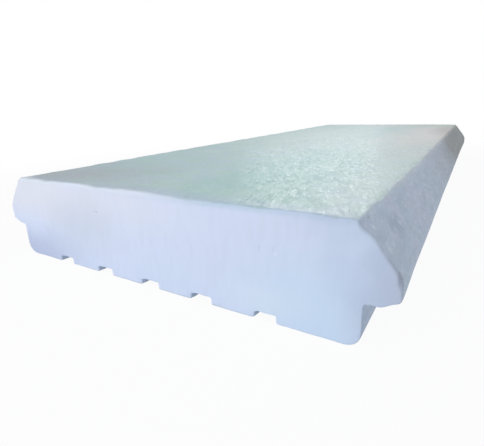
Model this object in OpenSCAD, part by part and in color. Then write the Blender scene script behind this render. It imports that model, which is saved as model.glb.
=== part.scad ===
// Infill block for a joist-and-block floor, cut with a hot wire from expanded polystyrene.
// It fills the gap between two joists: its ledges rest on the joists' flanges, its sloped
// shoulders leave room for the concrete of the ribs, and the keys along its underside hold
// the ceiling plaster. It is one straight section, cut off square at both ends.
//
// Frame: X across the joists, Y along them, Z up. The origin is on the underside, midway
// across and along the block.

/* [Block] */
// Length along the joists, from one cut end to the other
block_l = 1000; // [300:10:2000]
// Width across both ledges, where the block is widest
block_w = 420; // [400:5:640]
// Height from the underside to the top face
block_h = 88; // [78:1:200]

/* [Ledges] */
// How far each ledge reaches out over the flange of its joist
ledge_reach = 20; // [12:1:40]
// Height of the ledge's underside where it leaves the body
ledge_z = 33; // [22:1:42]
// Climb of the ledge's underside on its way out to the lip
ledge_rise = 6; // [0:0.5:12]
// Height of the upright face between the lip and the shoulder
ledge_face_h = 15; // [12:0.5:24]

/* [Shoulders] */
// Horizontal run of the shoulder, from the upright face in to the top face
shoulder_run = 26; // [16:1:60]
// How far the middle of the shoulder stands out from a straight slope
shoulder_bulge = 1.5; // [0.5:0.1:3]

/* [Plaster keys] */
// Number of keys along the underside
key_count = 5; // [1:1:6]
// Distance between the centres of neighbouring keys
key_pitch = 60; // [36:1:70]
// Width of a key
key_w = 20; // [12:1:30]
// Depth of a key
key_depth = 6.5; // [4.5:0.5:15]

/* [Corners] */
// Radius of the two lower corners of the body
foot_r = 11; // [1:0.5:16]
// Radius of the inside corner where the ledge leaves the body
throat_r = 3; // [0.5:0.5:8]
// Radius of the lip, at the bottom of the upright face
lip_r = 2.5; // [0.5:0.5:5]
// Radius that leads from the upright face into the shoulder
nose_r = 14; // [2:1:20]
// Radius at the edge of the top face
crest_r = 2.5; // [0.5:0.5:6]
// Radius at the two edges of a key's mouth
key_mouth_r = 1.5; // [0.5:0.5:3]
// Radius of the two inside corners of a key
key_root_r = 1; // [0.5:0.5:2]

/* [Hidden] */
foam_white = "#e9eef4";
// How far a facet may cut inside the arc that it stands for
facet_sag = 0.02;

body_w = block_w - 2 * ledge_reach;
key_span = (key_count - 1) * key_pitch;

// Points along an arc round a centre. It is taken clockwise where the last angle is the smaller.
function arc(centre, r, from, to) =
    let (facets = ceil(abs(to - from) / (2 * acos(1 - facet_sag / r))))
    [for (i = [0:facets]) let (a = from + (to - from) * i / facets) centre + r * [cos(a), sin(a)]];

function bearing(from, to) = atan2(to.y - from.y, to.x - from.x);

// The shoulder is an arc through the top of the upright face and the edge of the top face.
nose = [block_w / 2, ledge_z + ledge_rise + ledge_face_h];
crest = [block_w / 2 - shoulder_run, block_h];
shoulder_chord = norm(crest - nose);
shoulder_r = shoulder_chord ^ 2 / (8 * shoulder_bulge) + shoulder_bulge / 2;
shoulder_inward = [nose.y - crest.y, crest.x - nose.x] / shoulder_chord;
shoulder_centre = (nose + crest) / 2 + shoulder_inward * (shoulder_r - shoulder_bulge);

// Round a corner between that arc and a flat face: the small arc touches both, so its centre
// lies its own radius behind the face, and its radius short of the shoulder's.
function beside_shoulder(r, along) = sqrt((shoulder_r - r) ^ 2 - along ^ 2);
nose_x = nose.x - nose_r;
nose_centre = [nose_x, shoulder_centre.y + beside_shoulder(nose_r, nose_x - shoulder_centre.x)];
crest_z = crest.y - crest_r;
crest_centre = [shoulder_centre.x + beside_shoulder(crest_r, crest_z - shoulder_centre.y), crest_z];
nose_turn = bearing(shoulder_centre, nose_centre);
crest_turn = bearing(shoulder_centre, crest_centre);

// The ledge's underside is a slanted line. The lip's arc lies above it, the throat's below.
ledge_slant = atan(ledge_rise / ledge_reach);
function ledge_under(x) = ledge_z + (x - body_w / 2) * tan(ledge_slant);
lip_x = block_w / 2 - lip_r;
lip_centre = [lip_x, ledge_under(lip_x) + lip_r / cos(ledge_slant)];
throat_x = body_w / 2 + throat_r;
throat_centre = [throat_x, ledge_under(throat_x) - throat_r / cos(ledge_slant)];

// The right flank of the section, from the underside up to the top face.
function flank() = concat(
    arc([body_w / 2 - foot_r, foot_r], foot_r, -90, 0),
    arc(throat_centre, throat_r, 180, 90 + ledge_slant),
    arc(lip_centre, lip_r, ledge_slant - 90, 0),
    arc(nose_centre, nose_r, 0, nose_turn),
    arc(shoulder_centre, shoulder_r, nose_turn, crest_turn),
    arc(crest_centre, crest_r, crest_turn, 90)
);

function mirrored(points) = [for (i = [len(points) - 1:-1:0]) [-points[i].x, points[i].y]];

// The right half of a key, from its roof down to the underside.
function half_key() = concat(
    arc([key_w / 2 - key_root_r, key_depth - key_root_r], key_root_r, 90, 0),
    arc([key_w / 2 + key_mouth_r, key_mouth_r], key_mouth_r, 180, 270)
);

function key_at(x) = [for (point = concat(mirrored(half_key()), half_key())) point + [x, 0]];

// The whole section, anticlockwise: down the left flank, along the keys and up the right flank.
function section() = concat(
    mirrored(flank()),
    [for (i = [0:key_count - 1]) each key_at(i * key_pitch - key_span / 2)],
    flank()
);

// The block: its section, drawn in X and Z and run along Y.
module foam_block() {
    color(foam_white)
        rotate([90, 0, 0])
            linear_extrude(height = block_l, center = true)
                polygon(section());
}

foam_block();
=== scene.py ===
"""Looks for a hot-wire cut expanded polystyrene infill block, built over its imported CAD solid."""

import logging
import math
from collections.abc import Callable, Iterable
from dataclasses import dataclass
from enum import Enum
from functools import partial

import bpy
import numpy as np
from mathutils import Matrix, Vector, noise
from mathutils.geometry import delaunay_2d_cdt

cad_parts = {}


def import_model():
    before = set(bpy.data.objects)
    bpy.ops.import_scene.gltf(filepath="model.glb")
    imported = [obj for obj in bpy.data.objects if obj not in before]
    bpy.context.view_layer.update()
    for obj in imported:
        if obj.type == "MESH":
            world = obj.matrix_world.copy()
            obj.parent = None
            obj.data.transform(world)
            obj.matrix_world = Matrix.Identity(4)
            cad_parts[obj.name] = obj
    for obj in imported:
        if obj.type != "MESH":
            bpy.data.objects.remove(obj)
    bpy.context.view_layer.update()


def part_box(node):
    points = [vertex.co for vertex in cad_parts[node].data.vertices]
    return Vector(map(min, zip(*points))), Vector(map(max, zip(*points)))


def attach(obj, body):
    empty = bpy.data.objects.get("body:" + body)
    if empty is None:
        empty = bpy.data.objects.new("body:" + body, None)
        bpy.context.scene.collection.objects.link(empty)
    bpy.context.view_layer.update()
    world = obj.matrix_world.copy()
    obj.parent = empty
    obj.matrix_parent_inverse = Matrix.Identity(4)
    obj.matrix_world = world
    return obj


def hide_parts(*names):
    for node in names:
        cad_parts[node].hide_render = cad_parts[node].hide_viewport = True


LOG = logging.getLogger("infill_block")
MM = 0.001
ARC_STEP = 0.1 * MM
INSIDE_ONLY = 1
EPSILON = 1e-7
SEED = 7
CAD_NODE = "foam_block"
SMOOTH = {"interpolation_type": "SMOOTHSTEP"}
TIMES = {"operation": "MULTIPLY"}
TIMES_PLUS = {"operation": "MULTIPLY_ADD"}

Tree = bpy.types.NodeTree
Socket = bpy.types.NodeSocket
Pair = tuple[float, float]
Triple = tuple[float, float, float]
Array = np.ndarray
Adder = Callable[..., bpy.types.bpy_prop_collection]


class Face(Enum):
    """The two cut ends of the block."""

    NEAR = "near"
    FAR = "far"


def linear(hex_colour: str) -> tuple[float, float, float, float]:
    """Turns an sRGB hex colour to the linear values that shaders take.

    Args:
        hex_colour: a colour such as "#d4e1f6".

    Returns:
        Linear red, green and blue, and an alpha of 1.
    """
    channels = [int(hex_colour[i:i + 2], 16) / 255 for i in (1, 3, 5)]
    lit = [c / 12.92 if c <= 0.04045 else ((c + 0.055) / 1.055) ** 2.4 for c in channels]
    return (*lit, 1.0)


def add_node(
    tree: Tree, kind: str, inputs: tuple | dict[str, object] = (), **settings: object
) -> bpy.types.bpy_prop_collection:
    """Adds one node with its settings, values and incoming links.

    Args:
        tree: the node tree that gets the node.
        kind: Blender's name of the node type, without the "ShaderNode" in front.
        inputs: values for its sockets in their order, or by name; an output is linked.
        settings: the node's own properties.

    Returns:
        The new node's outputs.
    """
    node = tree.nodes.new(f"ShaderNode{kind}")
    for name, value in settings.items():
        setattr(node, name, value)
    for name, value in inputs.items() if isinstance(inputs, dict) else enumerate(inputs):
        if isinstance(value, Socket):
            tree.links.new(value, node.inputs[name])
        else:
            node.inputs[name].default_value = value
    return node.outputs


def emptied(owner: bpy.types.Material | bpy.types.World) -> Adder:
    """Empties a material's or world's nodes, and gives what adds nodes to them."""
    owner.use_nodes = True
    owner.node_tree.nodes.clear()
    return partial(add_node, owner.node_tree)


def placed(name: str, data: bpy.types.ID) -> bpy.types.Object:
    """A new object of the scene, made of a mesh, a lamp or a camera."""
    made = bpy.data.objects.new(name, data)
    bpy.context.scene.collection.objects.link(made)
    return made


def smooth_step(low: float, high: float, value: Array) -> Array:
    """Rises from 0 at low to 1 at high with no kink at either end."""
    t = np.clip((value - low) / (high - low), 0.0, 1.0)
    return t * t * (3.0 - 2.0 * t)


def noise_field(points: Array, lump: Triple, shift: float, octaves: int = 1) -> Array:
    """Smooth noise of about -1 to 1 at each point.

    Args:
        points: rows of x, y, z in metres.
        lump: the size of a lump along each axis, in metres.
        shift: moves the pattern, so that two fields differ.
        octaves: how many layers are added, each half as large and as strong as the last.

    Returns:
        One value for each point.
    """
    scaled = points / np.array(Vector(lump)) + shift
    total = np.zeros(len(points))
    for octave in range(octaves):
        step = scaled * 2.0**octave
        total += np.array([noise.noise(Vector(p)) for p in step]) / 2.0**octave
    return total


@dataclass(frozen=True)
class Film:
    """A soft-edged film of colour, with its sizes in millimetres. Most paint light and shade,
    some paint highlights along scrapes, and a few darken patches.

    It has its full density out to its core, a share of its reach, and thins out to
    nothing at its reach. The ragged share says how much the skin's blotches fray it.
    """

    colour: str
    centre: Triple
    reach: Triple
    density: float
    core: float = 0.15
    ragged_share: float = 1.0

    def cover(self, add: Adder, where: Socket, ragged: Socket) -> Socket:
        """How much of the foam the film hides: its density in the middle, 0 past its reach.

        Args:
            add: adds a node to the material.
            where: the place on the block.
            ragged: what the film's edge gains or loses there, as a share of its reach.

        Returns:
            The film's share.
        """
        away = add(
            "VectorMath", (where, tuple(v * MM for v in self.centre)), operation="SUBTRACT")[0]
        scaled = add(
            "VectorMath", (away, tuple(v * MM for v in self.reach)), operation="DIVIDE")[0]
        length = add("VectorMath", (scaled,), operation="LENGTH")["Value"]
        uneven = add("Math", (ragged, self.ragged_share, length), **TIMES_PLUS)[0]
        return add("MapRange", (uneven, self.core, 1.0, self.density, 0.0), **SMOOTH)[0]


@dataclass(frozen=True)
class BeadCut:
    """One size of bead and how the wire left it. Shares are of the bead's width.

    The crown is where its painted glint starts to fade and ends, from its middle out; lit is the
    chances between which a bead goes from no painted glint to a full one; lip is how much painted
    glint the raised side of its rim gets. The mosaic is bent by warp widths, in waves of 1 /
    warp_scale widths.
    """

    size: float
    crown: Pair
    lit: Pair
    lip: float
    stretch: float = 2.8
    groove: float = 0.25 * MM
    warp: float = 1.3
    warp_scale: float = 0.35
    rim: Pair = (0.05, 0.34)
    raised: Pair = (0.01, 0.10)
    lipped: Pair = (0.35, 0.95)


class BeadMosaic:
    """The mosaic of cut beads: a Voronoi pattern bent a little, so that no two beads match."""

    def __init__(self, add: Adder, where: Socket, cut: BeadCut) -> None:
        """Adds the beads, each with its lean and its chances.

        Args:
            add: adds a node to the material.
            where: the place on the block, with its second axis along the draw.
            cut: the bead's sizes.
        """
        self.add, self.cut, size = add, cut, cut.size
        drawn = add("VectorMath", (where, (1.0, 1.0 / cut.stretch, 1.0)), **TIMES)[0]
        warp = add("TexNoise", {
            "Vector": drawn, "Scale": cut.warp_scale / size, "Detail": 2.5, "Roughness": 0.62})
        shift = (cut.warp * size,) * 3
        bent = add("VectorMath", (warp["Color"], shift, drawn), **TIMES_PLUS)[0]
        cell, edge = (
            add("TexVoronoi", {"Vector": bent, "Scale": 1.0 / size}, feature=feature)
            for feature in ("F1", "DISTANCE_TO_EDGE"))
        local = add("VectorMath", (bent, cell["Position"]), operation="SUBTRACT")[0]
        tilt = add("VectorMath", (cell["Color"], (0.5, 0.5, 0.5)), operation="SUBTRACT")[0]
        self.out_from_middle, self.rim = cell["Distance"], edge["Distance"]
        self.lean = add("VectorMath", (local, tilt), operation="DOT_PRODUCT")["Value"]
        dice = add("SeparateColor", (cell["Color"],))
        self.chance, self.crown_chance, self.lip_chance = (
            dice["Red"], dice["Green"], dice["Blue"])

    def crown(self) -> Socket:
        """Where a bead gets painted glint and gloss: on its crown and its rim's raised side.

        Returns:
            1 where the glint is painted and 0 elsewhere.
        """
        add, cut = self.add, self.cut
        start, end = (share * cut.size for share in cut.raised)
        middle, lit, edge, high_side, lipped = (
            add("MapRange", (value, low, high, first, last), **SMOOTH)[0]
            for value, low, high, first, last in (
                (self.out_from_middle, *cut.crown, 1.0, 0.0),
                (self.crown_chance, *cut.lit, 0.0, 1.0),
                (self.rim, *cut.rim, 1.0, 0.0),
                (self.lean, start, end, 0.0, 1.0),
                (self.lip_chance, *cut.lipped, 0.0, cut.lip)))
        dot, raised = (
            add("Math", (one, other), **TIMES)[0]
            for one, other in ((middle, lit), (edge, high_side)))
        shiny = add("Math", (raised, lipped), **TIMES)[0]
        return add("Math", (dot, shiny), operation="MAXIMUM")[0]

    def in_groove(self) -> Socket:
        """1 in the middle of the groove round each bead, and 0 off it."""
        width = 2.0 * self.cut.groove / self.cut.size
        return self.add("MapRange", (self.rim, 0.0, width, 1.0, 0.0), **SMOOTH)[0]


@dataclass(frozen=True)
class DragMarks:
    """Marks that the wire dragged over one kind of face.

    They waver by bend, come in detail layers of finer marks, and show between the two
    levels of shown. Shade is what the colour is multiplied by in the middle of a mark.
    """

    size: Triple
    bend: float
    detail: float
    shown: Pair
    depth: float
    shade: float

    def pattern(self, add: Adder, where: Socket) -> Socket:
        """Lays the marks out over the block.

        Args:
            add: adds a node to the material.
            where: the place on the block.

        Returns:
            1 in the middle of a mark and 0 between marks.
        """
        scaled = add("VectorMath", (where, tuple(1.0 / size for size in self.size)), **TIMES)[0]
        drawn = add("TexNoise", {
            "Vector": scaled, "Scale": 1.0, "Detail": self.detail, "Distortion": self.bend})
        low, high = self.shown
        return add("MapRange", (drawn["Fac"], low, high), **SMOOTH)[0]


@dataclass(frozen=True)
class ExpandedPolystyrene:
    """Expanded polystyrene (EPS), steam-moulded in a big block and cut with a hot wire.

    The wire melts through the fused beads and leaves each one as a small glassy pillow,
    drawn out the way the wire went. A quick cut leaves them proud, and they glint one by
    one when light comes from behind, a glint also painted paler on their crowns; a slow cut,
    as on the ends, wipes them almost flat and matt. The top is painted greener and darker,
    a cast of the light on it; films paint light and shade, darken patches of the right
    shoulder and paint highlights along a few scrapes, all thinner over the painted glints.
    """

    # The fresh cut, the flanks, the top's painted cast of light, and the beads' painted glints
    body: str = "#dae5fd"
    side: str = "#d4e3fb"
    side_tint: str = "#cee1f7"
    painted_top_cast: str = "#bfdedd"
    painted_top_cast_faint: str = "#c2dde6"
    painted_glint: str = "#e2ecff"
    painted_glint_on_top: str = "#cff1f4"
    # A painted shade for the pin holes
    pin_hole_painted_shade: str = "#8f9cb4"
    # How much of the painted glint's colour a proud crown takes, how much the films thin over the
    # glints, and how much brighter the glints are painted
    glint_paint_share: float = 0.64
    glint_film_thinning: float = 0.36
    painted_glint_gain: float = 1.08
    groove_shade: float = 0.985
    # How far a normal turns, as its Y or Z part, from the flank to an end or to the top
    end_turn: Pair = (0.45, 0.85)
    top_turn: Pair = (0.80, 0.97)
    top_cast_turn: Pair = (0.84, 0.97)
    # The beads, and the way the wire was drawn, from the block's length
    beads: BeadCut = BeadCut(3.2 * MM, (0.16, 0.54), (0.45, 0.95), 1.0)
    big_beads: BeadCut = BeadCut(7.0 * MM, (0.06, 0.30), (0.70, 0.98), 0.0)
    drawn: float = math.radians(20)
    pillow: float = 0.15
    lean: float = 0.18
    low_bead: float = 0.30
    high_chance: Pair = (0.35, 0.95)
    # On the top the beads stand proud in clusters, and more to the right
    cluster: float = 34.0 * MM
    to_the_right: float = 2.2
    proud_levels: Pair = (0.52, 0.92)
    top_relief: float = 0.92
    flat_share: float = 0.12
    side_relief: float = 0.45
    side_specks: float = 0.74
    end_relief: float = 0.06
    # Waves and marks that the wire left, and two pin holes in the near end
    ripple: Triple = (8.0 * MM, 22.0 * MM, 8.0 * MM)
    ripple_depth: float = 0.13 * MM
    ripple_detail: float = 1.5
    swell: Triple = (16.0 * MM, 70.0 * MM, 16.0 * MM)
    swell_depth: float = 0.3 * MM
    swell_detail: float = 0.0
    side_marks: DragMarks = DragMarks(
        (7.5 * MM, 19.0 * MM, 7.5 * MM), 0.3, 2.5, (0.34, 0.72), 0.28 * MM, 0.93)
    end_marks: DragMarks = DragMarks(
        (5.5 * MM, 24.0 * MM, 24.0 * MM), 0.0, 1.0, (0.40, 0.68), 0.06 * MM, 0.975)
    pin_hole_radius: float = 0.9 * MM
    pin_hole_depth: float = 0.45 * MM
    pin_holes: tuple[Triple, ...] = ((-63, -500, 63.6), (-59.4, -500, 63.4))
    # Gloss: glassy on the right of the top, matt on its left, on the flanks and on the ends
    roughness: float = 0.42
    matt: float = 0.66
    matt_to_glassy: Pair = (-200 * MM, 120 * MM)
    side_matt: float = 0.62
    end_matt: float = 0.78
    gloss_spread: float = 0.06
    crown_polish: float = 0.10
    ior: float = 1.5
    # How large the colour's patches and the films' blotches are, and how much those fray
    tint: float = 30.0 * MM
    tint_levels: Pair = (0.35, 0.65)
    blotch: float = 60.0 * MM
    ragged: float = 0.3
    painted_light_and_dark_patches: tuple[Film, ...] = (
        # Darker, greyer patches over the far half of the right shoulder
        Film("#aab4bd", (205, 330, 70), (60, 480, 60), 0.4),
        Film("#b0b7c1", (200, -40, 68), (60, 270, 60), 0.45),
        Film("#80847f", (205, 400, 70), (60, 500, 60), 0.75, 0.6, 0.2),
        # Painted light and shade on the top: greyer at the near left, greener near the front, paler
        # and warmer to the far end, a pale band along the right crest and a blue-grey band along
        # the near edge
        Film("#b1b4be", (-170, -500, 90), (240, 190, 9), 0.7),
        Film("#a3cfce", (20, -360, 90), (150, 200, 9), 0.15),
        Film("#a6d4d0", (88, -415, 90), (100, 200, 9), 0.6),
        Film("#e0f5f4", (-120, 130, 90), (190, 580, 9), 0.7),
        Film("#f6f0f0", (158, 200, 90), (110, 560, 9), 0.72),
        Film("#d2d6d5", (168, 430, 90), (90, 340, 9), 0.6),
        Film("#a4c8c8", (98, -425, 90), (70, 90, 9), 0.42),
        Film("#9fd0d0", (66, -310, 90), (100, 280, 9), 0.68),
        Film("#b4cfd0", (158, -415, 90), (30, 80, 9), 0.35),
        Film("#f0e8e8", (40, 490, 90), (150, 160, 9), 0.45),
        Film("#e6f2f3", (174, -300, 90), (40, 350, 9), 0.4),
        Film("#a6c4bb", (150, 515, 90), (170, 230, 9), 0.75),
        Film("#aeaab0", (178, 290, 90), (48, 210, 9), 0.62),
        Film("#97c6c2", (104, -445, 90), (40, 60, 9), 0.42),
        Film("#b7c9e8", (20, -500, 90), (330, 28, 9), 0.45),
        # Painted light and shade on the near end: paler at the upper left and lower right, darker
        # at the lower left and towards the right edge and the nose
        Film("#e8eaf3", (-160, -500, 76), (250, 6, 46), 0.7),
        Film("#a9b5d6", (-195, -500, 4), (150, 6, 42), 0.55),
        Film("#cfe8ff", (152, -500, 18), (92, 6, 60), 0.65),
        Film("#b8cde6", (188, -500, 86), (70, 6, 24), 0.32),
        Film("#b0bdd8", (196, -500, 30), (26, 6, 46), 0.42),
        Film("#aeb8d0", (210, -500, 54), (26, 6, 34), 0.45),
        # A painted shade line along the bottom edge of the near end
        Film("#a3b8bb", (0, -500.5, 0), (260, 4, 2.2), 0.4, 0.3),
        # Painted shade at the worn near right corner
        Film("#b9c6d6", (188, -500, 83.5), (8, 10, 11), 0.1),
        Film("#ccd4e2", (-88, -500, 50), (78, 6, 48), 0.45),
        Film("#c0d5f0", (181, -500, 56), (32, 6, 40), 0.4),
        # A painted pale band under the top edge of the near end
        Film("#e6f0ff", (-90, -500, 88), (200, 7, 6), 0.65, 0.3),
        Film("#e4ecf8", (-178, -500, 88), (22, 14, 6), 0.8),
        # A painted dark stroke beside a scrape on the shoulder
        Film("#b0bccc", (185.4, -482, 86), (2.4, 3.6, 3), 0.5, 0.1),
        # More painted light and shade on the near end
        Film("#e2efff", (118, -500, 16), (48, 6, 26), 0.5),
        Film("#b4cbe4", (166, -500, 88), (22, 6, 8), 0.3),
        Film("#b8cae2", (194, -500, 64), (12, 6, 16), 0.35),
        Film("#cddaf0", (-110, -500, 20), (75, 6, 28), 0.4),
        Film("#d2e6fb", (20, -500, 16), (60, 6, 26), 0.25),
        # Painted shade over the near shoulder, and painted highlights along its scrapes
        Film("#b4c4dc", (198, -450, 73), (11, 21, 14), 0.5, 0.3),
        Film("#b4c4dc", (197, -489, 74), (12, 12, 18), 0.14, 0.3),
        Film("#deedff", (194.6, -462.8, 75.6), (3.4, 1.9, 4.4), 0.9),
        Film("#deedff", (198.6, -457.4, 71.3), (3.8, 2, 5), 0.9),
        Film("#deedff", (198.7, -441.3, 71.3), (3.6, 2.2, 4.6), 0.9),
        Film("#deedff", (200.8, -487.4, 68.3), (5, 4.2, 6.6), 0.9),
        Film("#deedff", (189.9, -486.7, 80.7), (3.4, 2, 5.4), 0.9),
        # A painted glint on the near end, and two darker dashes beside it
        Film("#e2ecff", (128.6, -500, 56.2), (1.8, 6, 3.2), 0.7),
        Film("#bccbe4", (115.6, -500, 58), (1.7, 6, 4.6), 0.26),
        Film("#bccbe4", (126.8, -500, 59.4), (1.5, 6, 4), 0.3),
        # A darker spot in the chip at the nose
        Film("#8a95a8", (210.8, -497, 55), (3.5, 5, 7.5), 0.45, 0.4),
    )

    def material(self) -> bpy.types.Material:
        """Builds the shader of the cut foam.

        Returns:
            The material, with all its patterns in the block's own coordinates.
        """
        made = bpy.data.materials.new("expanded_polystyrene_hot_wire_cut")
        skin = FoamShader(self, emptied(made))
        shader = skin.add("BsdfPrincipled", {
            "Base Color": skin.colour(), "Roughness": skin.roughness(),
            "IOR": self.ior, "Normal": skin.normal()})
        skin.add("OutputMaterial", {"Surface": shader["BSDF"]})
        return made


class FoamShader:
    """Wires the colour, roughness and normal of the cut foam from its finish."""

    def __init__(self, foam: ExpandedPolystyrene, add: Adder) -> None:
        """Adds the masks and patterns that all three share.

        Args:
            foam: the finish, with its colours and sizes.
            add: adds a node to the material.
        """
        self.foam, self.add = foam, add
        place = add("TexCoord")
        self.where = place["Object"]
        self.across = add("SeparateXYZ", (self.where,))["X"]
        self.along_draw = add("VectorRotate", {
            "Vector": self.where, "Angle": -foam.drawn}, rotation_type="Z_AXIS")[0]
        facing = add("SeparateXYZ", (place["Normal"],))
        along = add("Math", (facing["Y"],), operation="ABSOLUTE")[0]
        # The last mask marks the upward faces, where the top's painted cast of light goes
        self.on_end, self.on_top, self.top_cast_mask = (
            add("MapRange", (part, low, high), **SMOOTH)[0]
            for part, low, high in (
                (along, *foam.end_turn),
                (facing["Z"], *foam.top_turn),
                (facing["Z"], *foam.top_cast_turn)))
        other = add("Math", (self.on_end, self.top_cast_mask), operation="MAXIMUM")[0]
        self.on_flank = add("Math", (1.0, other), operation="SUBTRACT")[0]
        self.beads, big_beads = (
            BeadMosaic(add, self.along_draw, cut) for cut in (foam.beads, foam.big_beads))
        # Where the beads' glints are painted and their gloss raised
        self.crown = add("Math", (self.beads.crown(), big_beads.crown()), operation="MAXIMUM")[0]
        self.side_marks, self.end_marks = (
            marks.pattern(add, self.where) for marks in (foam.side_marks, foam.end_marks))
        self.pin_holes = self._pin_holes()
        self.proud = self._proud()
        self.relief = self._laid(
            "FLOAT", foam.side_specks, (self.on_top, self.proud), (self.on_end, foam.end_relief))

    def _laid(self, kind: str, base: object, *layers: tuple[Socket, object]) -> Socket:
        """Lays values one over another.

        Args:
            kind: what they are: FLOAT, VECTOR or RGBA.
            base: the value underneath.
            layers: each value's share, and the value, from the bottom up.

        Returns:
            What shows.
        """
        for share, over in layers:
            base = self.add("Mix", {
                "Factor": share, "A": base, "B": over}, data_type=kind)["Result"]
        return base

    def _pin_holes(self) -> Socket:
        """Marks the pin holes.

        Returns:
            1 in the middle of each pin hole and 0 away from them.
        """
        total: float | Socket = 0.0
        for spot in self.foam.pin_holes:
            away = self.add(
                "VectorMath", (self.where, tuple(v * MM for v in spot)), operation="DISTANCE")
            hole = self.add(
                "MapRange", (away["Value"], 0.0, self.foam.pin_hole_radius, 1.0, 0.0), **SMOOTH)[0]
            total = self.add("Math", (total, hole), operation="MAXIMUM")[0]
        return total

    def _proud(self) -> Socket:
        """Raises the beads on the top in clusters, and more to the right.

        Returns:
            How proud the beads stand.
        """
        foam, (low, high) = self.foam, self.foam.proud_levels
        patch = self.add("TexNoise", {
            "Vector": self.where, "Scale": 1.0 / foam.cluster, "Detail": 2.0})["Fac"]
        side = self.add("Math", (self.across, foam.to_the_right, patch), **TIMES_PLUS)[0]
        least, most = foam.flat_share * foam.top_relief, foam.top_relief
        return self.add("MapRange", (side, low, high, least, most), **SMOOTH)[0]

    def normal(self) -> Socket:
        """The skin's normal, from one height for each kind of face.

        The faces meet in a mix of normals, not of heights, which leaves no false ridge
        along an edge.

        Returns:
            The normal.
        """
        foam, add, away = self.foam, self.add, self.beads.out_from_middle
        squared = add("Math", (away, away), **TIMES)[0]
        domed = add("Math", (squared, -foam.pillow * foam.beads.size), **TIMES)[0]
        leant = add("Math", (self.beads.lean, foam.lean, domed), **TIMES_PLUS)[0]
        low, high = foam.high_chance
        few = add("MapRange", (self.beads.chance, low, high, foam.low_bead, 1.0), **SMOOTH)[0]
        bead = add("Math", (leant, few), **TIMES)[0]
        waves = []
        for size, detail in (
            (foam.ripple, foam.ripple_detail), (foam.swell, foam.swell_detail)
        ):
            scaled = add("VectorMath", (self.along_draw, size), operation="DIVIDE")[0]
            waves.append(add("TexNoise", {
                "Vector": scaled, "Scale": 1.0, "Detail": detail})["Fac"])
        normals = []
        for relief, *marks in (
            (foam.side_relief, (self.side_marks, -foam.side_marks.depth)),
            (self.proud, (waves[0], foam.ripple_depth), (waves[1], foam.swell_depth)),
            (foam.end_relief, (self.end_marks, -foam.end_marks.depth),
             (self.pin_holes, -foam.pin_hole_depth)),
        ):
            height = add("Math", (bead, relief), **TIMES)[0]
            for mark, depth in marks:
                height = add("Math", (mark, depth, height), **TIMES_PLUS)[0]
            normals.append(add("Bump", {
                "Strength": 1.0, "Distance": 1.0, "Height": height})[0])
        flank, top, end = normals
        mixed = self._laid("VECTOR", flank, (self.on_top, top), (self.on_end, end))
        return add("VectorMath", (mixed,), operation="NORMALIZE")[0]

    def _shaded(self, under: Socket, mark: Socket, over: Socket, shade: float) -> Socket:
        """Darkens or brightens a colour.

        Args:
            under: the colour.
            mark: where it changes, from 0 to 1.
            over: what the mark is held back by, from 0 to 1.
            shade: what the colour is multiplied by in full.

        Returns:
            The changed colour.
        """
        share = self.add("Math", (mark, over), **TIMES)[0]
        level = self.add("MapRange", (share, 0.0, 1.0, 1.0, shade))[0]
        return self.add("VectorMath", {0: under, "Scale": level}, operation="SCALE")[0]

    def colour(self) -> Socket:
        """The foam's colour: the fresh cut, the top's painted cast of light, painted glints, and
        films of painted light and shade.

        Returns:
            The base colour.
        """
        foam, add, (low, high) = self.foam, self.add, self.foam.tint_levels
        tint = add("TexNoise", {
            "Vector": self.along_draw, "Scale": 1.0 / foam.tint, "Detail": 1.0})["Fac"]
        uneven = add("MapRange", (tint, low, high), **SMOOTH)[0]
        # The flanks' tone, the top's painted cast of light (greener and darker), and the painted
        # glints' colour
        flank, painted_top_cast, bead = (
            self._laid("RGBA", linear(one), (share, linear(other))) for one, share, other in (
                (foam.side, uneven, foam.side_tint),
                (foam.painted_top_cast, uneven, foam.painted_top_cast_faint),
                (foam.painted_glint, self.top_cast_mask, foam.painted_glint_on_top)))
        # Painted glints: a paler colour on the crowns of proud beads
        spread = add("Math", (self.relief, foam.glint_paint_share), **TIMES)[0]
        proud_crown = add("Math", (self.crown, spread), **TIMES)[0]
        skin = self._laid(
            "RGBA", linear(foam.body),
            (self.on_flank, flank), (self.top_cast_mask, painted_top_cast), (proud_crown, bead))
        for mark, over, shade in (
            (self.beads.in_groove(), self.relief, foam.groove_shade),
            (self.side_marks, self.on_flank, foam.side_marks.shade),
            (self.end_marks, self.on_end, foam.end_marks.shade),
        ):
            skin = self._shaded(skin, mark, over, shade)
        blotch = add("TexNoise", {
            "Vector": self.where, "Scale": 1.0 / foam.blotch, "Detail": 3.0, "Roughness": 0.6})
        ragged = add(
            "MapRange", (blotch["Fac"], 0.0, 1.0, -foam.ragged, foam.ragged), clamp=False)[0]
        # Films of painted light and shade, and darker patches, all thinner over the painted glints
        raised = add("Math", (self.crown, self.relief), **TIMES)[0]
        thinned_over_glints = add("MapRange", (raised, 0.0, 1.0, 1.0, 1.0 - foam.glint_film_thinning))[0]
        for patch in foam.painted_light_and_dark_patches:
            film = add("Math", (patch.cover(add, self.where, ragged), thinned_over_glints), **TIMES)[0]
            skin = self._laid("RGBA", skin, (film, linear(patch.colour)))
        # The glints on the proudest crowns painted brighter still
        skin = self._shaded(skin, raised, self.relief, foam.painted_glint_gain)
        # Painted shade in the pin holes
        return self._laid("RGBA", skin, (self.pin_holes, linear(foam.pin_hole_painted_shade)))

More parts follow.
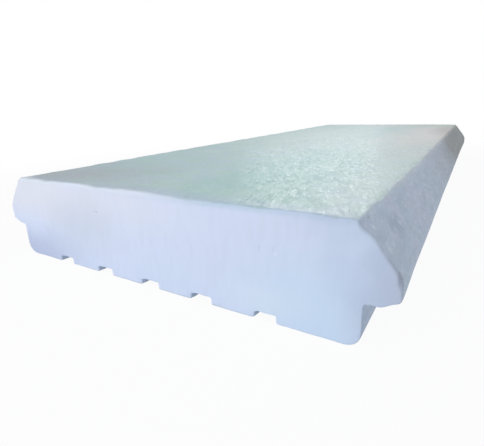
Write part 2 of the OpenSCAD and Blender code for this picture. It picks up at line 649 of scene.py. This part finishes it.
    def roughness(self) -> Socket:
        """Glassy on the top's right side, matt where wiped flat, with a spread among beads.

        Returns:
            The roughness.
        """
        foam, add, (low, high) = self.foam, self.add, self.foam.matt_to_glassy
        top = add("MapRange", (self.across, low, high, foam.matt, foam.roughness), **SMOOTH)[0]
        by_face = self._laid(
            "FLOAT", foam.side_matt, (self.on_top, top), (self.on_end, foam.end_matt))
        spread = add(
            "MapRange", (self.beads.chance, 0.0, 1.0, -foam.gloss_spread, foam.gloss_spread))[0]
        polished = add("Math", (self.crown, -foam.crown_polish, spread), **TIMES_PLUS)[0]
        return add("Math", (by_face, polished), operation="ADD")[0]


@dataclass(frozen=True)
class StudioPaper:
    """Matt white background paper, which the eye takes as an even white ground.

    It is clear from below, so that a view from under the floor shows the block.
    """

    paper: str = "#f4f6f8"
    white_share: float = 0.94
    shadow: Pair = (0.55, 1.1)

    def material(self) -> bpy.types.Material:
        """Builds the paper's shader: plain white to the camera, shadowed near the block.

        Returns:
            The material.
        """
        made = bpy.data.materials.new("studio_paper_matt_white")
        add = emptied(made)
        paper = add("BsdfDiffuse", {"Color": linear(self.paper)})[0]
        glow = add("Emission", {"Color": (1.0, 1.0, 1.0, 1.0), "Strength": 1.0})[0]
        where = add("TexCoord")["Object"]
        away = add("VectorMath", (where,), operation="LENGTH")["Value"]
        white = add("MapRange", (away, *self.shadow, self.white_share, 1.0), **SMOOTH)[0]
        share = add("Math", (seen_plainly(add), white), **TIMES)[0]
        both = add("MixShader", {"Fac": share, 1: paper, 2: glow})[0]
        from_below = add("NewGeometry")["Backfacing"]
        clear = add("BsdfTransparent")[0]
        seen = add("MixShader", {"Fac": from_below, 1: both, 2: clear})[0]
        add("OutputMaterial", {"Surface": seen})
        return made


def seen_plainly(add: Adder) -> Socket:
    """Tells what is seen as it is from what only lights the block.

    Args:
        add: adds a node to a material or to the world.

    Returns:
        1 for the camera's sight, direct, in a reflection or through something clear.
    """
    ray = add("LightPath")
    seen = ray["Is Camera Ray"]
    for name in ("Is Glossy Ray", "Is Transmission Ray"):
        seen = add("Math", (seen, ray[name]), operation="MAXIMUM")[0]
    return seen


def arc(centre: Pair, radius: float, start: float, end: float) -> list[Pair]:
    """Draws an arc of the section.

    Args:
        centre: the arc's centre.
        radius: its radius.
        start: the turn it starts at, in degrees.
        end: the turn it ends at.

    Returns:
        Points along it, an arc step apart or less.
    """
    count = max(3, math.ceil(abs(math.radians(end - start)) * radius / ARC_STEP))
    turns = [math.radians(start + (end - start) * i / count) for i in range(count + 1)]
    return [(centre[0] + radius * math.cos(a), centre[1] + radius * math.sin(a)) for a in turns]


@dataclass
class BlockSection:
    """The block's outline across its length, from the same sizes as the CAD section.

    The wire's plaster keys stray a little, by key_wander, from their even pitch, and
    one is narrower, by key_tight a side.
    """

    width: float
    height: float
    ledge_reach: float = 20 * MM
    ledge_z: float = 33 * MM
    ledge_rise: float = 6 * MM
    ledge_face: float = 15 * MM
    shoulder_run: float = 26 * MM
    shoulder_bulge: float = 1.5 * MM
    foot_r: float = 11 * MM
    throat_r: float = 3 * MM
    lip_r: float = 2.5 * MM
    nose_r: float = 14 * MM
    crest_r: float = 2.5 * MM
    key_pitch: float = 60 * MM
    key_width: float = 20 * MM
    key_depth: float = 6.5 * MM
    key_mouth_r: float = 1.5 * MM
    key_root_r: float = 1 * MM
    key_wander: tuple[float, ...] = (-0.6 * MM, 0.4 * MM, 1.4 * MM, -0.5 * MM, -0.6 * MM)
    key_tight: tuple[float, ...] = (0.0, 0.0, 0.0, 0.0, 1.0 * MM)

    def _ledge_under(self, x: float) -> float:
        """Height of the slanted ledge's underside at x."""
        out = x - self.width / 2 + self.ledge_reach
        return self.ledge_z + out * self.ledge_rise / self.ledge_reach

    def _beside_shoulder(self, radius: float, offset: float, shoulder_r: float) -> float:
        """How far a fillet's centre lies from the shoulder's centre, across the offset."""
        return math.sqrt((shoulder_r - radius) ** 2 - offset**2)

    def flank(self) -> list[Pair]:
        """Draws the right flank, from the foot up to the crest.

        Returns:
            Its points.
        """
        half, body = self.width / 2, self.width / 2 - self.ledge_reach
        slant = math.atan2(self.ledge_rise, self.ledge_reach)
        nose = np.array([half, self.ledge_z + self.ledge_rise + self.ledge_face])
        crest = np.array([half - self.shoulder_run, self.height])
        chord = float(np.linalg.norm(crest - nose))
        shoulder_r = chord**2 / (8 * self.shoulder_bulge) + self.shoulder_bulge / 2
        inward = np.array([nose[1] - crest[1], crest[0] - nose[0]]) / chord
        centre = (nose + crest) / 2 + inward * (shoulder_r - self.shoulder_bulge)
        nose_x = half - self.nose_r
        nose_z = centre[1] + self._beside_shoulder(self.nose_r, nose_x - centre[0], shoulder_r)
        crest_z = self.height - self.crest_r
        crest_x = centre[0] + self._beside_shoulder(self.crest_r, crest_z - centre[1], shoulder_r)
        nose_turn, crest_turn = (
            math.degrees(math.atan2(z - centre[1], x - centre[0]))
            for x, z in ((nose_x, nose_z), (crest_x, crest_z)))
        slant_deg = math.degrees(slant)
        lip_x, throat_x = half - self.lip_r, body + self.throat_r
        lip_c = (lip_x, self._ledge_under(lip_x) + self.lip_r / math.cos(slant))
        throat_c = (throat_x, self._ledge_under(throat_x) - self.throat_r / math.cos(slant))
        return (
            arc((body - self.foot_r, self.foot_r), self.foot_r, -90, 0)
            + arc(throat_c, self.throat_r, 180, 90 + slant_deg)
            + arc(lip_c, self.lip_r, slant_deg - 90, 0)
            + arc((nose_x, nose_z), self.nose_r, 0, nose_turn)
            + arc(tuple(centre), shoulder_r, nose_turn, crest_turn)
            + arc((crest_x, crest_z), self.crest_r, crest_turn, 90)
        )

    def key(self, x: float, tight: float) -> list[Pair]:
        """Draws one plaster key.

        Args:
            x: its middle.
            tight: how much narrower it is on each side.

        Returns:
            Its points, from its left mouth to its right.
        """
        wall, root, mouth = self.key_width / 2 - tight, self.key_root_r, self.key_mouth_r
        half = (
            arc((wall - root, self.key_depth - root), root, 90, 0)
            + arc((wall + mouth, mouth), mouth, 180, 270)
        )
        return [(x - px, pz) for px, pz in reversed(half)] + [(x + px, pz) for px, pz in half]

    def key_places(self) -> list[float]:
        """The middle of each plaster key, from the left."""
        first = -(len(self.key_wander) - 1) / 2 * self.key_pitch
        return [first + i * self.key_pitch + aside for i, aside in enumerate(self.key_wander)]

    def corners(self) -> list[Pair]:
        """Draws the whole outline.

        Returns:
            All its arc points, counter-clockwise from the left crest.
        """
        flank, places = self.flank(), zip(self.key_places(), self.key_tight)
        keys = [point for x, tight in places for point in self.key(x, tight)]
        return [(-x, z) for x, z in reversed(flank)] + keys + flank


def graded(
    length: float, spacing: Callable[[Array], Array], samples: int = 8001
) -> Array:
    """Places along a line, close together where the spacing is small.

    Args:
        length: the line's length in metres.
        spacing: gives the wished spacing at each place.
        samples: how many places it is asked for.

    Returns:
        Places from 0 to the length.
    """
    fine = np.linspace(0.0, length, samples)
    density = 1.0 / spacing(fine)
    gained = (density[1:] + density[:-1]) / 2 * np.diff(fine)
    total = np.concatenate([[0.0], np.cumsum(gained)])
    count = math.ceil(total[-1])
    return np.interp(np.linspace(0.0, total[-1], count + 1), total, fine)


@dataclass(frozen=True)
class Dent:
    """A bruise, crumb hole or lump: a smooth local push of the skin, in millimetres."""

    centre: Triple
    reach: Triple
    push: Triple

    def moved(self, across: float) -> "Dent":
        """The same dent at another place across the block, given in metres."""
        x, y, z = self.centre
        return Dent((x + across / MM, y, z), self.reach, self.push)

    def worn(self, points: Array) -> Array:
        """Presses the skin.

        Args:
            points: the skin's points.

        Returns:
            The points as the dent leaves them.
        """
        away = (points / MM - np.array(self.centre)) / np.array(self.reach)
        weight = np.exp(-np.sum(away**2, axis=1))
        return points + weight[:, None] * np.array(self.push) * MM


@dataclass(frozen=True)
class Scuff:
    """A corner or edge rubbed down to a rough slant, in millimetres.

    It fades out past its reach. The grain is the size of its roughness, and grit how
    high that stands.
    """

    centre: Triple
    facing: Triple
    depth: float
    reach: float
    grain: float = 3.0
    grit: float = 0.25
    faded: float = 0.02

    def worn(self, points: Array) -> Array:
        """Rubs the skin down: no point stands past the slant.

        Args:
            points: the skin's points.

        Returns:
            The points as the scuff leaves them.
        """
        facing = np.array(self.facing) / np.linalg.norm(self.facing)
        away = points / MM - np.array(self.centre)
        window = np.exp(-(np.linalg.norm(away, axis=1) / self.reach) ** 4)
        rough = self.grit * noise_field(points, (self.grain * MM,) * 3, self.centre[2])
        past = np.maximum(away @ facing + (self.depth + rough) * window, 0.0)
        over = past * (window > self.faded)
        return points - over[:, None] * facing * MM


@dataclass(frozen=True)
class Fineness:
    """How far apart the skin's points lie: close where it bends or where the eye is near.

    A spacing grows by its grade for each metre away from what it is close to, which is
    every so many of the outline's bends, rounded to so many digits of a metre. The
    shoulder's holds from a share of the height up to so far under the top. The ends'
    inner points lie in rows, shifted by their jitter, a margin of a step off the rim.
    """

    corner: float = 0.8 * MM
    key: float = 1.1 * MM
    shoulder: float = 1.6 * MM
    shoulder_from: float = 0.66
    shoulder_to: float = 3 * MM
    beyond: float = 1 * MM
    digits: int = 5
    every: int = 4
    flat: float = 7.0 * MM
    top: float = 3.5 * MM
    grade: float = 0.16
    under_grade: float = 0.35
    near: float = 0.8 * MM
    near_run: float = 60 * MM
    near_grade: float = 0.035
    mid: float = 8.0 * MM
    mid_grade: float = 0.09
    far: float = 1.6 * MM
    far_grade: float = 0.12
    near_cap: float = 2.6 * MM
    far_cap: float = 5.0 * MM
    jitter: float = 0.2
    jitter_rate: float = 900.0
    row_rise: float = 0.866
    margin: float = 0.5
    round_turns: tuple[int, ...] = (0, 18, 36, 54, 72, 90)


@dataclass(frozen=True)
class Handling:
    """How the wire wandered, and what handling rubbed and nibbled off the edges.

    The nibbling adds up a plain, a lumpy and a bitten share, and the rubbing of the
    crest a plain and an uneven one. The block is sheltered up to a share of its
    height. The patterns of the rubs, lumps and bites are shifted by a step each.
    """

    wander: float = 0.22 * MM
    wander_size: Triple = (50 * MM, 80 * MM, 50 * MM)
    free_above: float = 2 * MM
    nibble: float = 0.8 * MM
    nibble_reach: float = 3.0 * MM
    nibble_shares: Triple = (0.2, 0.65, 1.2)
    lump: float = 11 * MM
    bite: float = 5 * MM
    bite_level: float = 0.15
    sheltered: float = 0.3
    sheltered_to: float = 0.5
    crest_rub: float = 1.2 * MM
    crest_reach: float = 2.8 * MM
    crest_shares: Pair = (0.35, 1.1)
    rub_size: Triple = (12 * MM, 24 * MM, 12 * MM)
    shift: float = 7.31
    shift_steps: Triple = (5, 3, 9)


@dataclass
class InfillBlock:
    """The block itself: one closed skin with the wear of a piece that has been handled."""

    low: Vector
    high: Vector
    finish: ExpandedPolystyrene = ExpandedPolystyrene()
    fine: Fineness = Fineness()
    handling: Handling = Handling()
    end_round: float = 0.8 * MM
    top_round: float = 1.5 * MM
    shoulder_round: float = 2.2 * MM
    # Where the ends' rounding grows: under the top, in from the right, and up the flank
    under_top: Pair = (4 * MM, 0.5 * MM)
    in_from_right: Pair = (60 * MM, 34 * MM)
    up_the_flank: Pair = (38 * MM, 52 * MM)
    # A chip and a crumb at the left mouth of each plaster key
    key_chip: Dent = Dent((-10.4, -500, 2.4), (2.4, 4, 3), (-1.3, 0.8, 0))
    key_crumb: Dent = Dent((-9.6, -500, 6.8), (2.2, 5, 1.8), (0.7, 0, -0.6))
    marks: tuple[Dent | Scuff, ...] = (
        Dent((187.5, -500, 84), (5.5, 16, 4.5), (-1.5, 0, -1.1)),
        Scuff((209.5, -500, 54), (0.70, -0.70, 0.10), 1.5, 9),
        Scuff((210, 500, 48), (0.70, 0.70, 0), 3, 16),
        Dent((198, 330, 72), (36, 270, 40), (-3.6, 0, -1.6)),
        Dent((211, -500, 41), (8, 40, 8), (0.9, 0, 0)),
        Dent((211, -430, 46), (9, 170, 16), (1.7, 0, 0)),
        Dent((200.5, -505, 35.5), (5.5, 45, 6), (0, 0, -2.4)),
        Dent((-200.5, -505, 35.5), (5.5, 45, 6), (0, 0, -1.6)),
        Dent((-211, -500, 50), (9, 60, 32), (-1.7, 0, 0)),
        Dent((-190, -500, 18), (8, 60, 22), (-1.5, 0, 0)),
        Dent((116, -500, 88), (4.5, 4, 3), (0, 0.6, -1.2)),
        Dent((169, -500, 88), (4, 5, 3.5), (0, 0.4, -0.9)),
        Dent((51, -500, 88), (12, 5, 3.5), (0, 0.4, -1)),
        Dent((195.3, -460.2, 75.6), (4, 2.8, 5), (-0.75, 0, -0.55)),
        Dent((197.9, -463.2, 72.5), (4, 2.8, 5), (-0.75, 0, -0.55)),
        Dent((196.6, -446.6, 74), (4, 3.2, 5), (-0.75, 0, -0.55)),
        Dent((199.3, -449.6, 70.5), (4, 3.2, 5), (-0.75, 0, -0.55)),
        Dent((199.8, -493, 70.2), (5.5, 4.5, 7), (-0.85, 0, -0.65)),
        Dent((189.4, -489.8, 81.6), (3.6, 3.4, 5), (-0.75, 0, -0.55)),
        Dent((207.3, -435, 59.6), (2.2, 4, 2.2), (-0.6, 0, -0.4)),
        Dent((185.4, -482, 86), (2.2, 3.4, 2.6), (-0.45, 0, -0.45)),
        Dent((146, -500, 88), (34, 6, 5), (0, -0.2, 0.9)),
        Dent((-166, -500, 88), (6, 5, 4), (0, 0.4, -1)),
        Dent((-138, -500, 88), (7, 5, 4), (0, 0.4, -0.9)),
        Dent((-57, -500, 88), (9, 5, 4), (0, 0.4, -1.1)),
        Dent((-84, -500, 88), (22, 6, 4), (0, -0.3, 1)),
        Dent((-8, -500, 88), (24, 6, 4), (0, -0.3, 1)),
    )

    def section(self) -> BlockSection:
        """The outline, as wide and high as the CAD solid."""
        return BlockSection(self.high.x - self.low.x, self.high.z - self.low.z)

    def outline(self) -> tuple[Array, Array]:
        """Walks the section's outline with more points where it bends.

        Returns:
            The points as rows of x and z, and the outward normals.
        """
        section, fine = self.section(), self.fine
        pts = np.array(section.corners())
        closed = np.vstack([pts, pts[:1]])
        steps = np.linalg.norm(np.diff(closed, axis=0), axis=1)
        s = np.concatenate([[0.0], np.cumsum(steps)])
        bends = np.unique(np.round(s[:-1][steps < 2 * ARC_STEP], fine.digits))[::fine.every]
        flank_x = self.high.x - section.shoulder_run - fine.beyond
        touch = 0.1 * MM
        from_z, to_z = self.high.z * fine.shoulder_from, self.high.z - fine.shoulder_to
        past_keys = section.key_pitch * 3

        def place(at: Array) -> tuple[Array, Array]:
            """The x and z of places along the outline."""
            return np.interp(at, s, closed[:, 0]), np.interp(at, s, closed[:, 1])

        def spacing(at: Array) -> Array:
            """How far apart the points are to lie at places along the outline."""
            gap = np.abs(at[:, None] - bends[None]).min(axis=1)
            x, z = place(at)
            grade = np.where(z < self.low.z + touch, fine.under_grade, fine.grade)
            widest = np.where(z > self.high.z - touch, fine.top, fine.flat)
            finest = np.where(z < section.key_depth + fine.beyond, fine.key, fine.corner)
            finest = np.where(np.abs(x) > past_keys, fine.corner, finest)
            wide = np.minimum(finest + grade * gap, widest)
            shoulder = (np.abs(x) > flank_x) & (z > from_z) & (z < to_z)
            return np.where(shoulder, fine.shoulder, wide)

        at = graded(float(s[-1]), spacing)[:-1]
        ahead, behind = (np.stack(place((at + way * touch / 2) % s[-1])) for way in (1, -1))
        tangent = (ahead - behind).T
        tangent /= np.linalg.norm(tangent, axis=1)[:, None]
        return np.stack(place(at), axis=1), np.stack([tangent[:, 1], -tangent[:, 0]], axis=1)

    def edge_rounds(self, outline: Array) -> Array:
        """Rounds the edges of the cut ends: most on the right shoulder.

        Args:
            outline: the outline's points.

        Returns:
            The radius at each point.
        """
        x, z = outline[:, 0], outline[:, 1]
        top = smooth_step(*(self.high.z - down for down in self.under_top), z)
        right = smooth_step(*(self.high.x - inward for inward in self.in_from_right), x)
        shoulder = right * smooth_step(*self.up_the_flank, z)
        rest = self.end_round + (self.top_round - self.end_round) * top
        return rest + (self.shoulder_round - rest) * shoulder

    def rings(self) -> list[Pair]:
        """Spreads the rings of points along the block.

        Returns:
            Each ring's place, and how deep it lies under the nearer end.
        """
        fine, length = self.fine, self.high.y - self.low.y
        widest = max(self.end_round, self.top_round, self.shoulder_round)
        depths = [widest * (1 - math.cos(math.radians(a))) for a in fine.round_turns]

        def spacing(at: Array) -> Array:
            """How far apart the rings are to lie at places along the block."""
            run = fine.near_run
            front = (fine.near + fine.near_grade * np.minimum(at, run)
                     + fine.mid_grade * np.maximum(at - run, 0.0))
            back = fine.far + fine.far_grade * (length - at)
            return np.minimum(np.minimum(front, back), fine.mid)

        middle = graded(length - 2 * widest, spacing)[1:-1] + widest
        along = [*depths, *(float(y) for y in middle), *(length - d for d in reversed(depths))]
        return [(self.low.y + y, min(y, length - y)) for y in along]

    def skin(self) -> tuple[Array, list[tuple[int, ...]], Array]:
        """Builds the closed skin before any wear.

        Returns:
            The points in metres, the faces, and the outline.
        """
        outline, outward = self.outline()
        rings = self.rings()
        rounds = self.edge_rounds(outline)
        count = len(outline)
        points, faces = [], []
        for y, depth in rings:
            draw_in = rounds - np.sqrt(rounds**2 - np.maximum(rounds - depth, 0.0) ** 2)
            flat = outline - outward * draw_in[:, None]
            points.append(np.stack([flat[:, 0], np.full(count, y), flat[:, 1]], axis=1))
        for start in range(0, (len(rings) - 1) * count, count):
            for i in range(count):
                here, beside = start + i, start + (i + 1) % count
                faces.append((here, here + count, beside + count, beside))
        total = len(rings) * count
        rim = outline - outward * rounds[:, None]
        for face, base, y, step in (
            (Face.NEAR, 0, self.low.y, self.fine.near_cap),
            (Face.FAR, total - count, self.high.y, self.fine.far_cap),
        ):
            inner, tris = self._cap(rim, step)
            points.append(np.stack([inner[:, 0], np.full(len(inner), y), inner[:, 1]], axis=1))
            for tri in tris:
                ids = [base + v if v < count else total + v - count for v in tri]
                faces.append(tuple(ids if face is Face.NEAR else reversed(ids)))
            total += len(inner)
        return np.vstack(points), faces, outline

    def _cap(self, rim: Array, step: float) -> tuple[Array, list[tuple[int, ...]]]:
        """Fills one cut end with small triangles.

        Args:
            rim: the end's outline.
            step: how far apart the points inside lie.

        Returns:
            The points inside, and triangles whose first indexes are the rim's.
        """
        spots, rise = [], self.fine.row_rise
        jitter, rate = self.fine.jitter, self.fine.jitter_rate
        for row in range(1, int((self.high.z - self.low.z) / (step * rise))):
            z = self.low.z + row * step * rise
            for col in range(int((self.high.x - self.low.x) / step) + 1):
                x = self.low.x + (col + 0.5 * (row % 2)) * step
                shift = noise.noise_vector(Vector((x * rate, z * rate, step / MM)))
                spots.append((x + jitter * step * shift.x, z + jitter * step * shift.y))
        inner = np.array([p for p in spots if self._inside(p, rim, self.fine.margin * step)])
        coords = [Vector(p) for p in np.vstack([rim, inner])]
        edges = [(i, (i + 1) % len(rim)) for i in range(len(rim))]
        verts, _, tris, sources, _, _ = delaunay_2d_cdt(
            coords, edges, [list(range(len(rim)))], INSIDE_ONLY, EPSILON)
        order = [min(s) if s else -1 for s in sources]
        if len(verts) != len(coords) or -1 in order:
            raise ValueError("the end's outline crosses itself")
        return inner, [tuple(order[v] for v in t) for t in tris]

    def _inside(self, spot: Pair, rim: Array, margin: float) -> bool:
        """Tests one spot of a cut end.

        Args:
            spot: its x and z.
            rim: the end's outline.
            margin: how far inside it has to lie.

        Returns:
            True if it lies inside the rim by the margin or more.
        """
        x, z = spot
        a, b = rim, np.roll(rim, -1, axis=0)
        climb = np.where(b[:, 1] == a[:, 1], 1.0, b[:, 1] - a[:, 1])
        reached = (b[:, 0] - a[:, 0]) * (z - a[:, 1]) / climb + a[:, 0]
        crosses = ((a[:, 1] > z) != (b[:, 1] > z)) & (x < reached)
        near = np.min(np.hypot(rim[:, 0] - x, rim[:, 1] - z))
        return bool(crosses.sum() % 2) and near > margin

    def wear(self, points: Array, normals: Array, outline: Array) -> Array:
        """Moves the skin by what the wire and handling did to it.

        Args:
            points: the clean skin's points.
            normals: its outward normals.
            outline: the section's outline.

        Returns:
            The moved points.
        """
        hand, section = self.handling, self.section()
        drift = noise_field(points, hand.wander_size, hand.shift)
        rub_shift, lump_shift, bite_shift = (hand.shift + step for step in hand.shift_steps)
        end = np.minimum(points[:, 1] - self.low.y, self.high.y - points[:, 1])
        crest_x = self.high.x - section.shoulder_run
        to_crest = np.hypot(np.abs(points[:, 0]) - crest_x, points[:, 2] - self.high.z)
        to_edge = end**2 + self._rim_distance(points, outline) ** 2
        at_edge = np.exp(-to_edge / hand.nibble_reach**2)
        at_crest = np.exp(-(to_crest / hand.crest_reach) ** 2)
        rubs = noise_field(points, hand.rub_size, rub_shift, 3)
        lumps = noise_field(points, (hand.lump,) * 3, lump_shift, 2)
        pits = noise_field(points, (hand.bite,) * 3, bite_shift)
        bites = np.clip(pits - hand.bite_level, 0.0, 1.0)
        upper = smooth_step(self.high.z * hand.sheltered_to, self.high.z, points[:, 2])
        exposed = hand.sheltered + (1 - hand.sheltered) * upper
        plain, lumpy, bitten = hand.nibble_shares
        chipped = hand.nibble * exposed * at_edge * (plain + lumpy * lumps + bitten * bites)
        even, uneven = hand.crest_shares
        rubbed = hand.crest_rub * at_crest * (even + uneven * rubs)
        lost = np.maximum(chipped, 0.0) + np.maximum(rubbed, 0.0)
        free = smooth_step(self.low.z, self.low.z + hand.free_above, points[:, 2])
        worn = points + normals * (hand.wander * drift * free - lost)[:, None]
        at_keys = [
            chip.moved(place)
            for place in section.key_places() for chip in (self.key_chip, self.key_crumb)]
        for mark in (*at_keys, *self.marks):
            worn = mark.worn(worn)
        worn[:, 2] = np.maximum(worn[:, 2], self.low.z)
        return worn

    def _rim_distance(self, points: Array, outline: Array) -> Array:
        """Measures from the points to the section's outline, some at a time to save memory.

        Args:
            points: the skin's points.
            outline: the outline's points.

        Returns:
            How far each point lies from the outline.
        """
        flat, found, batch = points[:, (0, 2)], np.empty(len(points)), 4000
        for start in range(0, len(points), batch):
            gap = flat[start:start + batch, None, :] - outline[None, :, :]
            found[start:start + batch] = np.sqrt((gap**2).sum(axis=2).min(axis=1))
        return found

    def build(self) -> bpy.types.Object:
        """Makes the skin's mesh, wears it and dresses it.

        Returns:
            The finished piece.
        """
        points, faces, outline = self.skin()
        mesh = bpy.data.meshes.new("infill_block")
        mesh.from_pydata([tuple(p) for p in points], [], faces)
        mesh.update()
        normals = np.empty(len(points) * 3)
        mesh.vertex_normals.foreach_get("vector", normals)
        worn = self.wear(points, normals.reshape(-1, 3), outline)
        mesh.vertices.foreach_set("co", worn.ravel())
        mesh.shade_smooth()
        mesh.update()
        mesh.materials.append(self.finish.material())
        block = placed("infill_block", mesh)
        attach(block, "root")
        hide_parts(CAD_NODE)
        triangles = sum(len(f) - 2 for f in faces)
        LOG.info("infill block: %d points, %d triangles", len(points), triangles)
        return block


@dataclass(frozen=True)
class SoftLamp:
    """One square soft box, its place and aim in metres."""

    name: str
    at: Triple
    aim: Triple
    size: float
    watts: float
    colour: str = "#ffffff"

    def hang(self) -> None:
        """Adds the lamp to the scene, turned to its aim and out of the camera's sight."""
        data = bpy.data.lights.new(self.name, "AREA")
        data.shape, data.size, data.energy = "SQUARE", self.size, self.watts
        data.color = linear(self.colour)[:3]
        lamp = placed(self.name, data)
        lamp.location = self.at
        towards = Vector(self.aim) - Vector(self.at)
        lamp.rotation_euler = towards.to_track_quat("-Z", "Y").to_euler()
        lamp.visible_camera = False


@dataclass
class Studio:
    """Paper floor, soft lamps, ambient light and the camera.

    The floor lies a hair above the block's underside, which hides the seam between
    them, and its paper is clear from below.
    """

    lamps: tuple[SoftLamp, ...] = (
        SoftLamp("key_front_left", (-0.22, -1.35, 0.45), (0.0, -0.5, 0.04), 0.8, 4.65),
        SoftLamp("overhead", (0.25, -0.1, 1.6), (0.1, -0.1, 0.08), 1.2, 2.0),
        SoftLamp("back_window", (-0.7, 1.7, 0.75), (0.05, -0.2, 0.08), 0.9, 3.4),
    )
    floor_size: float = 9.0
    floor_lift: float = 0.05 * MM
    ambient: float = 0.41
    lens: float = 27.745
    sensor: float = 36.0
    clip: Pair = (0.01, 100.0)
    camera_at: Triple = (0.23734, -0.71581, 0.15499)
    yaw: float = -0.56001
    pitch: float = 0.30407
    roll: float = -0.03288

    def floor(self) -> bpy.types.Object:
        """Lays the paper under the block.

        Returns:
            The floor.
        """
        half, lift = self.floor_size / 2, self.floor_lift
        corners = [(x * half, y * half, lift) for x, y in ((-1, -1), (1, -1), (1, 1), (-1, 1))]
        mesh = bpy.data.meshes.new("paper_floor")
        mesh.from_pydata(corners, [], [(0, 1, 2, 3)])
        mesh.materials.append(StudioPaper().material())
        floor = placed("paper_floor", mesh)
        return floor

    def world(self) -> None:
        """Even ambient light, plain white to the camera and in reflections."""
        world = bpy.data.worlds.new("studio")
        add = emptied(world)
        level = add("MapRange", (seen_plainly(add), 0.0, 1.0, self.ambient, 1.0))[0]
        sky = add("Background", {"Color": (1, 1, 1, 1), "Strength": level})[0]
        add("OutputWorld", {"Surface": sky})
        bpy.context.scene.world = world

    def camera(self) -> None:
        """Sets the camera at its place, turned by yaw, pitch and roll."""
        forward = Vector((
            math.sin(self.yaw) * math.cos(self.pitch),
            math.cos(self.yaw) * math.cos(self.pitch),
            -math.sin(self.pitch)))
        level = Vector((math.cos(self.yaw), -math.sin(self.yaw), 0.0))
        above = level.cross(forward)
        right = math.cos(self.roll) * level + math.sin(self.roll) * above
        up = math.cos(self.roll) * above - math.sin(self.roll) * level
        data = bpy.data.cameras.new("camera")
        data.lens, data.sensor_width, data.sensor_fit = self.lens, self.sensor, "HORIZONTAL"
        data.clip_start, data.clip_end = self.clip
        camera = placed("camera", data)
        turn = Matrix((right, up, -forward)).transposed().to_4x4()
        camera.matrix_world = Matrix.Translation(self.camera_at) @ turn
        bpy.context.scene.camera = camera

    def build(self) -> None:
        """Sets the whole studio up."""
        self.floor()
        self.world()
        for lamp in self.lamps:
            lamp.hang()
        self.camera()
        bpy.context.scene.view_settings.view_transform = "Standard"
        LOG.info("studio set")


def main() -> None:
    logging.basicConfig(level=logging.INFO, format="%(name)s: %(message)s")
    noise.seed_set(SEED)
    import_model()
    low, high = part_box(CAD_NODE)
    InfillBlock(low, high).build()
    Studio().build()


if __name__ == "__main__":
    main()
